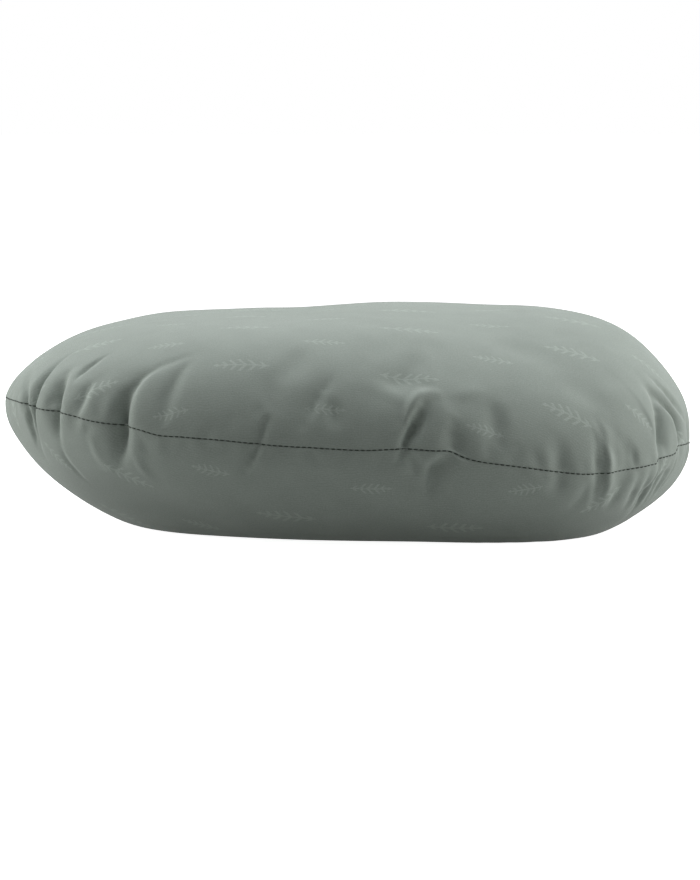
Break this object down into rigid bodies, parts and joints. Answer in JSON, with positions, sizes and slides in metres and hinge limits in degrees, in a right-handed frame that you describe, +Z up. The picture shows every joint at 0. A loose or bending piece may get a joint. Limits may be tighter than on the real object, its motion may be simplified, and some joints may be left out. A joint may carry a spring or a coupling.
{
  "type": "camp pillow",
  "caption": "Stuffed rectangular camp pillow with rounded corners: two brushed fabric panels joined by one seam round the sides, with a blank care label at the rear.",
  "frame": {"origin": "centre of the pillow's bounding box, on the surface that it lies on", "axes": "+X along the long side, towards the fuller end, +Y towards the rear side with the closing seam and the care label, +Z up"},
  "size_m": [0.4158, 0.3058, 0.1285],
  "materials": {
    "brushed_cover": "sage grey-green brushed polyester microfibre, matte, with a faint tone-on-tone pattern",
    "seam_thread": "near-black green polyester sewing thread",
    "overlock_thread": "pale sage textured polyester thread",
    "crumb_foam": "loose crumbs of soft grey foam",
    "label_tape": "off-white satin label tape, blank"
  },
  "bodies": {
    "pillow": {"cover_upper_panel": "brushed_cover", "cover_lower_panel": "brushed_cover", "seam_needle_thread": "seam_thread", "seam_bobbin_thread": "seam_thread", "closing_needle_thread": "seam_thread", "closing_bobbin_thread": "seam_thread", "overlock_needle_thread": "overlock_thread", "overlock_upper_looper_thread": "overlock_thread", "overlock_lower_looper_thread": "overlock_thread", "foam_fill": "crumb_foam"},
    "care_label": {"care_label": "label_tape"}
  },
  "joints": [
    {"name": "care_label_hinge", "type": "hinge", "parent": "pillow", "child": "care_label", "pos_m": [-0.10731, 0.13938, 0.06983], "axis": [0.9629, 0.2698, 0], "range_deg": [-4, 176]}
  ]
}
